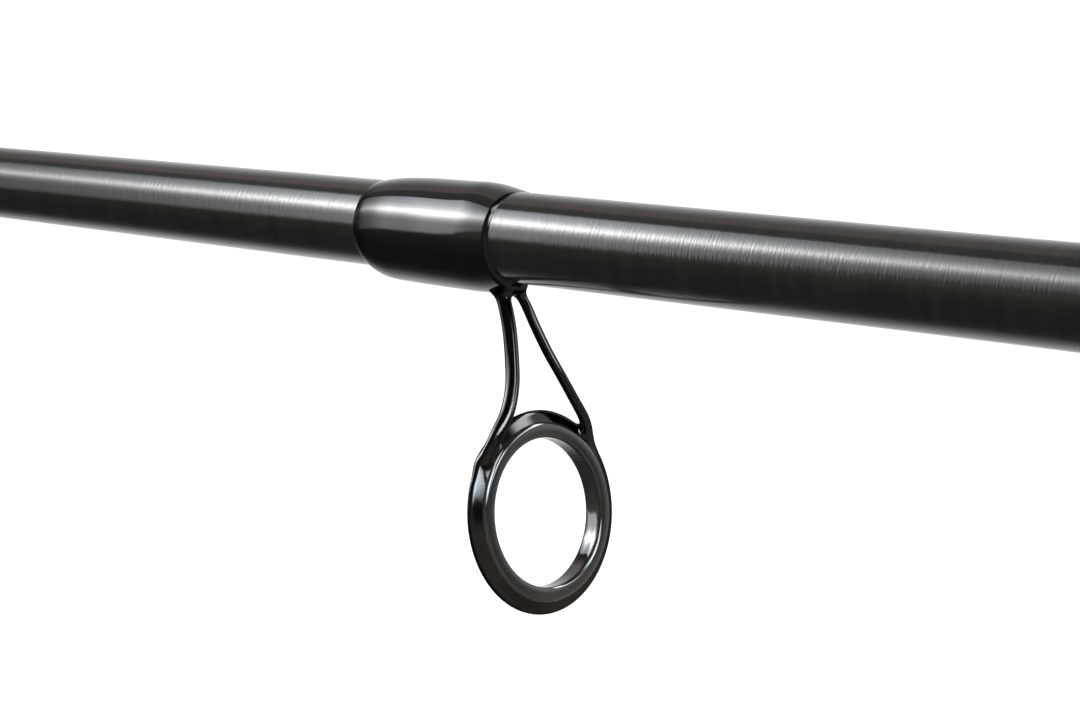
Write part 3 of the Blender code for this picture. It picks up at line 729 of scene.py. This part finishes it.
def make_tip_top():
    """The end ring on its tube, with two side wires that run out to the hoop."""
    size = TIP_TOP_SIZE / NOMINAL * 1.1
    start, end = TIP_TOP_X - 17.0, TIP_TOP_X - 2.0
    lean = math.radians(-14)
    centre = Vector((TIP_TOP_X + 1.2, 0.0, -4.4))
    reach = HOOP_OUTER * size
    metal = Field((start - 0.6, -reach - 0.6, centre.z - reach - 0.6),
                  (TIP_TOP_X + 4.0, reach + 0.6, 2.6), 0.09)
    grid, _ = metal.grid()
    x, y, z = grid
    radius = np.sqrt(y ** 2 + z ** 2)
    shell = 1.72 - 0.22 * np.clip((x - end + 2.5) / 2.5, 0.0, 1.0)
    tube = np.maximum(radius - shell, np.maximum(start - x, x - end))
    metal.blend(tube, 0.1)
    metal.blend(hoop_distance(grid, centre, lean, size), 0.1)
    wires = []
    for sign in (1, -1):
        route = route_through([(start + 3.0, sign * 1.3, -1.1), (start + 8.0, sign * 2.0, -2.3),
                               (TIP_TOP_X - 3.0, sign * (reach - 0.3), -3.6),
                               (centre.x - 0.1, sign * (reach - 0.08), -4.4)], 8)
        wires.append(metal.bar(route, 0.42, 0.42, Vector((0.0, 0.0, 1.0))))
    metal.blend(np.minimum(*wires), 0.7)
    bore = np.maximum(radius - radius_at(TIP_OUTLINE, start) - FIT, x - TIP_TOP_X + 3.0)
    metal.values = np.maximum(metal.values, -bore)
    piece("tip_top_frame_skin", metal.skin("tip_top_frame_skin"), CHROME, TIP, ["tip_top_frame"],
          sharp=180.0)
    piece("tip_top_ring_skin", ring_mesh("tip_top_ring_skin", centre, lean, size, 96), CERAMIC, TIP,
          ["tip_top_ring"], sharp=180.0)


def make_hook_keeper():
    """A wire staple for parking the hook; its ends lie along the blank under two short wraps."""
    start, end = 452.0, 474.0
    surface = radius_at(BUTT_OUTLINE, (start + end) / 2)
    lift, wire = 0.65, 0.5                   # of the wire's axis above the blank, and its radius
    route = route_through([
        (start, 0, -surface - lift - 0.05), (458.5, 0, -surface - lift), (459.8, 0, -surface - 1.4),
        (460.6, 0, -surface - 4.4), (463.0, 0, -surface - 6.4), (465.4, 0, -surface - 4.4),
        (466.2, 0, -surface - 1.4), (467.5, 0, -surface - lift), (end, 0, -surface - lift)], 8)
    rings = []
    for i, point in enumerate(route):
        ahead = (route[min(i + 1, len(route) - 1)] - route[max(i - 1, 0)]).normalized()
        other = ahead.cross(Vector((0.0, 1.0, 0.0)))
        rings.append([point + Vector((0.0, wire * math.cos(a), 0.0)) + other * (wire * math.sin(a))
                      for a in around(24)])
    piece("hook_keeper_skin", loft("hook_keeper_skin", rings), CHROME, BUTT, ["hook_keeper"],
          sharp=180.0)
    for name, begin, stop in (("hook_keeper_rear_wrap", start - 1.0, 458.0),
                              ("hook_keeper_front_wrap", 468.0, end + 1.0)):
        outer = []
        for x in steps_between(begin, stop, 0.12):
            rise = round_end(min(x - begin, stop - x), 1.4)
            blank = radius_at(BUTT_OUTLINE, x)
            outer.append((x, lambda down, _, blank=blank, rise=rise:
                          blank + 0.03 + (0.42 + 1.35 * fade(down, 4, 48)) * rise))
        inner = [(x, radius_at(BUTT_OUTLINE, x) - 0.1) for x in (begin, stop)]
        band_piece(name + "_skin", outer, inner, 128, WRAP, BUTT, name, sharp=60.0)


# ---- handle ----
def smooth_outline(points, steps):
    return [(p.x, p.y) for p in route_through([(x, r, 0.0) for x, r in points], steps)]


def make_butt_cap():
    """A rubber cup over the rear grip's tenon, with three grooves round it."""
    floor, rim, tenon = 4.0, 26.0, 12.55
    grooves, groove_width, groove_depth = (16.0, 19.0, 22.0), 0.45, 0.35
    outer = smooth_outline([(rim, 14.1), (25.4, 14.45), (22.0, 14.5), (14.0, 14.5), (7.0, 14.5),
                            (4.0, 14.3), (1.8, 13.5), (0.5, 12.2), (0.0, 11.0)], 8)
    grooved = []
    for x, r in outer:
        groove = sum(math.exp(-((x - at) / groove_width) ** 2) for at in grooves)
        grooved.append((x, r - groove_depth * groove))
    fine = [(rim, 14.1)] + [p for p in grooved if p[0] < rim]
    rings = [[(x, r * math.sin(a), -r * math.cos(a)) for a in around(144)]
             for x, r in [(floor, 0.05), (floor, tenon), (rim, tenon), *fine, (0.0, 8.0), (0.35, 7.6),
                          (0.35, 0.05)]]
    piece("butt_cap_skin", loft("butt_cap_skin", rings), RUBBER, BUTT, ["butt_cap"], sharp=50.0)


def make_grips():
    def grip(name, points, lead=()):
        outer = [*lead, *smooth_outline(points, 10)]
        inner = [(x, radius_at(BUTT_OUTLINE, x) + FIT) for x in (outer[0][0], outer[-1][0])]
        band_piece(name + "_skin", outer, inner, 128, CORK, BUTT, name, sharp=50.0)

    grip("rear_grip", [(26.3, 13.9), (26.9, 14.2), (42.0, 14.25), (60.0, 13.8), (78.0, 12.8), (94.0, 11.4),
                       (106.0, 10.2), (112.0, 9.8), (117.6, 9.65), (118.0, 9.4)],
         lead=[(4.3, 12.5), (26.3, 12.5)])
    grip("middle_grip", [(202.3, 9.3), (202.7, 9.55), (208.0, 9.7), (216.0, 10.6), (226.0, 11.9),
                         (234.0, 12.4), (239.4, 12.35), (240.0, 12.0)])
    grip("foregrip", [(367.9, 11.7), (368.6, 12.1), (371.0, 12.5), (378.0, 12.75), (385.0, 12.7),
                      (398.0, 12.0), (410.0, 10.6), (418.0, 9.6), (424.5, 9.25), (425.0, 9.0)])


def make_collars():
    """Metal rings that close the grips, the reel seat and the lock nut."""
    def collar(name, outer, body=BUTT, bore=None):
        inner = [(x, bore or radius_at(BUTT_OUTLINE, x) + FIT) for x in (outer[0][0], outer[-1][0])]
        band_piece(name + "_skin", outer, inner, 144, GUNMETAL, body, name, sharp=35.0)

    collar("rear_winding_check", [(118.3, 8.9), (118.8, 9.4), (120.2, 9.35), (120.4, 9.05), (120.9, 9.05),
                                  (121.1, 9.25), (123.4, 8.75), (124.1, 8.4), (124.3, 7.9)])
    collar("middle_winding_check", [(196.0, 7.7), (196.2, 8.2), (196.9, 8.5), (199.2, 9.05), (199.4, 8.85),
                                    (199.9, 8.85), (200.1, 9.2), (201.5, 9.3), (202.0, 8.8)])
    collar("front_winding_check", [(425.3, 8.5), (425.8, 9.0), (427.2, 8.85), (427.4, 8.55), (427.9, 8.5),
                                   (428.1, 8.65), (430.2, 7.9), (430.8, 7.5), (431.0, 7.0)])
    collar("seat_trim_ring", [(364.3, 10.9), (364.6, 11.6), (365.3, 11.9), (366.6, 11.9), (367.3, 11.7),
                              (367.6, 11.2)])
    collar("nut_trim_ring", [(247.0, 10.9), (247.2, 11.4), (247.7, 11.7), (249.0, 11.7), (249.5, 11.5),
                             (249.7, 11.0)], body=NUT, bore=9.45)


# ---- reel seat ----
SEAT_START, SEAT_END, SEAT_BORE = 240.3, 364.0, 8.00
THREAD_START, THREAD_END, THREAD_LEAD, THREAD_DEPTH = 242.0, 294.0, 3.0, 0.34
BED_START, BED_END, BED_DROP = 296.0, 339.5, 8.80
GROOVE_END, GROOVE_HALF, GROOVE_FLOOR = 316.0, 1.0, 8.70
NUT_START, NUT_END, NUT_BORE = 250.0, 259.0, 9.45
HOOD_START, FIXED_HOOD_START, HOOD_LENGTH, HOOD_BACK = 259.3, 340.3, 21.7, 5.7
HOOD_POCKET, SLIDE_FIT = 5.6, 0.08


def seat_radius(x):
    """The seat's outside at x: a screw thread behind, then plain, with a flat bed and a keyway."""
    def radius(down, angle):
        r = SEAT_RADIUS
        if THREAD_START < x < THREAD_END:
            fade_in = min((x - THREAD_START) / 1.5, (THREAD_END - x) / 1.5, 1.0)
            turn = (x / THREAD_LEAD - angle / (2 * math.pi)) % 1.0
            groove = min(max(1.3 * (1.0 - abs(2 * turn - 1.0)) - 0.15, 0.0), 1.0)
            r -= THREAD_DEPTH * groove * fade_in
        if BED_START < x < BED_END and down < math.pi / 3:
            r = min(r, BED_DROP / math.cos(down))
        if x < GROOVE_END and abs(r * math.sin(angle)) < GROOVE_HALF and down > math.pi / 2:
            r = min(r, GROOVE_FLOOR)
        return r
    return radius


def make_reel_seat():
    places = [*steps_between(SEAT_START, THREAD_END, 0.25), *steps_between(THREAD_END, BED_START, 0.5)[1:],
              BED_START + 0.01, *steps_between(BED_START + 0.5, GROOVE_END, 2.0), GROOVE_END + 0.01,
              *steps_between(GROOVE_END + 0.5, BED_END - 0.01, 2.0), BED_END + 0.01, SEAT_END - 0.4]
    outer = [(x, seat_radius(x)) for x in places] + [(SEAT_END, SEAT_RADIUS - 0.4)]
    inner = [(SEAT_START, SEAT_BORE), (SEAT_END, SEAT_BORE)]
    band_piece("reel_seat_skin", outer, inner, 300, PLASTIC, BUTT, "reel_seat_body",
               sharp=30.0)


def hood_skin(name, closed_end, direction, gap, body):
    """A hood: a solid back wall, a pocket below the seat, a rolled lip, and a shallow rib behind it."""
    bore = SEAT_RADIUS + gap
    skin = [(0.0, 0.55), (0.15, 0.80), (0.5, 1.00), (1.0, 1.15), (2.0, 1.32), (3.5, 1.40), (18.8, 1.42),
            (19.3, 1.75), (20.6, 1.80), (21.3, 1.62), (HOOD_LENGTH, 1.2)]
    swell = [(0.0, 0.22), (1.0, 0.42), (3.0, 0.70), (HOOD_BACK, 0.93), (8.5, 1.03), (14.0, 1.05),
             (HOOD_LENGTH, 1.02)]
    outer, inner = [], []
    for depth in [*steps_between(0.0, 1.0, 0.1), *steps_between(1.0, 18.8, 0.6)[1:],
                  *steps_between(18.8, HOOD_LENGTH, 0.15)[1:]]:
        wall, bulge = eased(skin, depth), eased(swell, depth)
        outer.append((closed_end + direction * depth, lambda down, _, wall=wall, bulge=bulge:
                      bore + wall + bulge * HOOD_POCKET * fade(down, 30, 78)))
    for depth in (0.0, HOOD_BACK, HOOD_BACK + 0.02, HOOD_LENGTH):
        open_share = 1.0 if depth > HOOD_BACK else 0.0
        inner.append((closed_end + direction * depth, lambda down, _, share=open_share:
                      bore + HOOD_POCKET * share * fade(down, 28, 72)))
    if direction < 0:
        outer.reverse()
        inner.reverse()
    band_piece(name + "_skin", outer, inner, 180, GUNMETAL, body, name, sharp=35.0)


def make_nut():
    """The lock nut, with twelve finger flutes between two plain rims."""
    plain, flute, flutes = 11.95, 0.45, 12

    def fluted(share):
        return lambda _, angle: plain + flute * share * math.tanh(2.0 * math.cos(flutes * angle))

    outer = [(NUT_START, 11.0), (NUT_START + 0.2, 11.35), (NUT_START + 0.8, 11.55),
             (NUT_START + 1.0, 11.95)]
    for x in steps_between(NUT_START + 1.2, NUT_END - 1.4, 0.3):
        edge = min(x - NUT_START - 1.2, NUT_END - 1.4 - x)
        outer.append((x, fluted(round_end(edge, 0.9))))
    outer += [(NUT_END - 1.2, 11.9), (NUT_END - 1.0, 11.5), (NUT_END - 0.3, 11.3), (NUT_END, 10.9)]
    inner = [(NUT_START, NUT_BORE), (NUT_END, NUT_BORE)]
    band_piece("lock_nut_skin", outer, inner, 288, PLASTIC, NUT, "lock_nut", sharp=35.0)


# ---- camera, light and floor ----
def make_camera():
    """The camera stands on the butt side of the second guide, looking past it towards the tip."""
    yaw, pitch = math.radians(46.09), math.radians(8.74)
    back = Vector((-math.cos(yaw) * math.cos(pitch), math.sin(yaw) * math.cos(pitch), math.sin(pitch)))
    data = bpy.data.cameras.new("camera")
    data.sensor_width = 36.0
    data.lens = 96.67
    data.clip_start = 0.01
    data.clip_end = 100.0
    camera = bpy.data.objects.new("camera", data)
    bpy.context.scene.collection.objects.link(camera)
    guide_root = 1000.0
    camera.location = Vector((guide_root - 173.69, 177.90, 27.57)) * MM
    camera.rotation_mode = "QUATERNION"
    camera.rotation_quaternion = (-back).to_track_quat("-Z", "Y")
    bpy.context.scene.camera = camera


DEGREE = 1.0 / 360.0      # in turns, as the world's ramps count them


def make_world():
    """A white room. Gloss sees it laid out by two angles: round the rod's axis, and along it.

    Round the axis, 0 degrees is level on the camera's side of the rod and 90 degrees is straight up.
    Along it, 1 points to the tip and -1 to the butt.
    """
    world = bpy.data.worlds.new("studio")
    bpy.context.scene.world = world
    world.use_nodes = True
    tree = world.node_tree
    tree.nodes.clear()

    def calculate(operation, *values):
        return add_node(tree, "ShaderNodeMath", enumerate(values), operation=operation).outputs[0]

    def scale_of(factor, low, high, stops):
        """A ramp whose stops run from low to high instead of 0 to 1."""
        return add_ramp(tree, factor, [((at - low) / (high - low), colour) for at, colour in stops])

    def round_axis(stops):
        return scale_of(turn, -180.0, 180.0, stops)

    def along_axis(stops):
        return scale_of(run, -1.0, 1.0, stops)

    def product(*colours):
        result = colours[0]
        for colour in colours[1:]:
            result = add_node(tree, "ShaderNodeMix", [("Factor", 1.0), (6, result), (7, colour)],
                              data_type="RGBA", blend_type="MULTIPLY").outputs[2]
        return result

    def glow(strength, *colours):
        inputs = [("Color", product(*colours)), ("Strength", strength)]
        return add_node(tree, "ShaderNodeBackground", inputs).outputs[0]

    direction = add_node(tree, "ShaderNodeTexCoord").outputs["Generated"]
    along, across, up = add_node(tree, "ShaderNodeSeparateXYZ", [(0, direction)]).outputs
    turn = calculate("MULTIPLY_ADD", calculate("ARCTAN2", up, across), 1 / (2 * math.pi), 0.5)
    run = calculate("MULTIPLY_ADD", along, 0.5, 0.5)
    side = calculate("MULTIPLY_ADD", across, 0.5, 0.5)
    rise = calculate("MULTIPLY_ADD", up, 0.5, 0.5)

    def under(limit, soft):
        """1 where the turn is below the limit (a socket, in turns), 0 above it."""
        gap = calculate("SUBTRACT", limit, turn)
        return scale_of(calculate("ADD", gap, 0.5), -180.0, 180.0, [(0.0, 0.0), (soft, 1.0)])

    room = glow(
        1.0,
        round_axis([(-180, 1.0), (-122, 1.0), (-104, 0.50), (-92, 0.14), (-75, 0.04), (-40, 0.05),
                    (-10, (0.14, 0.15, 0.115)), (4, (0.42, 0.44, 0.37)), (80, 0.30), (97, 0.30),
                    (102, (0.75, 0.60, 0.56)), (108, (0.62, 0.50, 0.47)), (120, 0.50), (138, 0.80),
                    (155, 1.0), (180, 1.0)]),
        along_axis([(-1.0, 0.11), (0.1, 0.10), (0.35, 0.12), (0.56, 1.0), (0.78, 1.0), (0.88, 0.25)]))
    wall_behind = glow(
        1.0,
        round_axis([(-180, 0.35), (-150, (0.40, 0.30, 0.24)), (-128, (0.22, 0.17, 0.13)), (-100, 0.05),
                    (-60, 0.0), (127, 0.0), (130, 9.0), (137, 9.0), (140, 0.8), (165, 0.9), (180, 0.35)]),
        along_axis([(-0.85, 0.0), (-0.70, 0.6), (-0.40, 1.0), (0.0, 1.0), (0.15, 0.0)]))
    # On both sides of its middle the softbox's edges slant, as a lamp's do when it stands at an angle.
    middle = 0.68
    away = calculate("MAXIMUM", calculate("SUBTRACT", middle, along), 0.0)
    beyond = calculate("MAXIMUM", calculate("SUBTRACT", along, middle), 0.0)
    lowered = calculate("MULTIPLY_ADD", beyond, -90.0 * DEGREE, 0.5 + 7.0 * DEGREE)
    lower_edge = calculate("MULTIPLY_ADD", calculate("POWER", away, 0.6), 48.0 * DEGREE, lowered)
    upper_edge = calculate("MULTIPLY_ADD", away, -38.0 * DEGREE, 0.5 + 79.5 * DEGREE)
    above_lower = calculate("SUBTRACT", 1.0, under(lower_edge, 6.0))
    peak = 26.0
    softbox = glow(
        peak,
        round_axis([(d, (c * tint / peak, c / peak, c * (2.0 - tint) / peak)) for d, c, tint in [
            (-4, 2.4, 1.0), (22, 3.2, 0.98), (29, 5.5, 0.98), (34, 10.0, 1.0), (39, 17.0, 1.0),
            (42.5, 26.0, 1.0), (48, 22.0, 0.99), (54, 13.0, 0.97), (62, 7.6, 0.95), (72, 4.6, 0.93),
            (80, 3.6, 0.93), (81, 0.0, 1.0)]]),
        along_axis([(0.0, 0.0), (0.30, 0.18), (0.50, 0.24), (0.58, 0.36), (0.645, 0.50), (0.68, 1.0),
                    (0.735, 1.0), (0.75, 0.70), (0.77, 0.40), (0.80, 0.27), (0.86, 0.18), (0.91, 0.02)]),
        above_lower, under(upper_edge, 2.0))
    window = glow(
        15.0,
        scale_of(side, -1.0, 1.0, [(-0.42, 0.0), (-0.30, (0.80, 0.90, 0.95)), (0.06, (0.86, 0.95, 1.0)),
                                   (0.34, (0.70, 0.80, 0.90)), (0.42, 0.0)]),
        scale_of(rise, -1.0, 1.0, [(0.24, 0.0), (0.33, 0.7), (0.42, 1.0), (0.54, 1.0), (0.62, 0.0)]),
        along_axis([(-1.0, 0.9), (-0.82, 1.0), (-0.76, 0.0)]))
    ceiling = glow(
        7.0,
        scale_of(side, -1.0, 1.0, [(-0.26, 0.0), (-0.10, 1.0), (0.20, 1.0), (0.30, 0.0)]),
        scale_of(rise, -1.0, 1.0, [(0.52, 0.0), (0.58, 1.0), (0.80, 1.0), (0.88, 0.0)]),
        along_axis([(-0.80, 0.0), (-0.72, 1.0), (-0.3, 1.0), (-0.1, 0.0)]))
    low_wall = glow(
        0.32,
        round_axis([(-130, 0.0), (-105, (1.0, 0.86, 0.72)), (-20, (1.0, 0.88, 0.76)), (30, 0.4),
                    (60, 0.0)]),
        along_axis([(-1.0, 1.0), (-0.75, 0.9), (-0.25, 0.0)]))
    gloss = room
    for lamp in (wall_behind, low_wall, softbox, window, ceiling):
        gloss = add_node(tree, "ShaderNodeAddShader", [(0, gloss), (1, lamp)]).outputs[0]
    white = add_node(tree, "ShaderNodeBackground", [("Color", (1.0, 1.0, 1.0, 1.0)), ("Strength", 1.15)])
    is_gloss = add_node(tree, "ShaderNodeLightPath").outputs["Is Glossy Ray"]
    seen = add_node(tree, "ShaderNodeMixShader", [(0, is_gloss), (1, white.outputs[0]), (2, gloss)])
    add_node(tree, "ShaderNodeOutputWorld", [("Surface", seen.outputs[0])])


def make_floor():
    """A wide pale floor, well below the rod, which is held in the air."""
    reach, drop = 40.0, -0.30
    mesh = bpy.data.meshes.new("floor")
    mesh.from_pydata([(-reach, -reach, drop), (reach, -reach, drop), (reach, reach, drop),
                      (-reach, reach, drop)], [], [(0, 1, 2, 3)])
    floor = bpy.data.objects.new("floor", mesh)
    bpy.context.scene.collection.objects.link(floor)
    look = Look("floor_white", (0.9, 0.9, 0.9), 0.9)
    look.tint(look.speckle(6.0, 2.0), [(0.3, (0.93, 0.93, 0.93)), (0.7, (0.95, 0.95, 0.95))])
    mesh.materials.append(look.material)
    floor.visible_glossy = False


def make_key_light():
    """A broad overhead panel that gives the matt pieces their shape; gloss doesn't see it."""
    data = bpy.data.lights.new("key", "AREA")
    data.shape = "RECTANGLE"
    data.size, data.size_y = 3.0, 1.5
    data.energy = 60.0
    key = bpy.data.objects.new("key", data)
    bpy.context.scene.collection.objects.link(key)
    key.location = (0.6, 0.9, 1.8)
    key.rotation_euler = (Vector((0.9, 0.0, 0.0)) - key.location).to_track_quat("-Z", "Y").to_euler()
    key.visible_glossy = False


make_camera()
make_world()
make_floor()
make_key_light()
bpy.context.scene.view_settings.view_transform = "Standard"
make_blanks()
make_butt_cap()
make_grips()
make_collars()
make_reel_seat()
hood_skin("sliding_hood", HOOD_START, 1, SLIDE_FIT, HOOD)
hood_skin("fixed_hood", FIXED_HOOD_START + HOOD_LENGTH, -1, FIT, BUTT)
make_nut()
make_hook_keeper()
make_stripper()
for guide in SINGLE_GUIDES:
    make_guide(*guide, TIP_OUTLINE, TIP)
make_tip_top()
plain_wrap("handle_wrap_skin", BUTT_OUTLINE, 431.3, 448.0, 0.38, BUTT, "handle_wrap")
plain_wrap("index_wrap_skin", BUTT_OUTLINE, 888.0, 894.0, 0.33, BUTT, "index_wrap")
plain_wrap("ferrule_wrap_skin", TIP_OUTLINE, 900.5, 924.0, 0.45, TIP, "ferrule_wrap")
plain_wrap("tip_top_wrap_skin", TIP_OUTLINE, 1778.5, 1782.7, 0.32, TIP, "tip_top_wrap")

SLOT_MATERIALS = {"cork": CORK, "dark_metal": GUNMETAL, "seat_plastic": PLASTIC, "rubber": RUBBER,
                  "wrap": WRAP, "guide_metal": CHROME, "ceramic": CERAMIC, "blank": BLANK,
                  "arbor_foam": foam_material()}
for part in frame["record"]["subparts"]:
    thing = bpy.data.objects.get(part["node"])
    if thing:
        thing.data.materials.clear()
        thing.data.materials.append(SLOT_MATERIALS[part["material_slot"]])
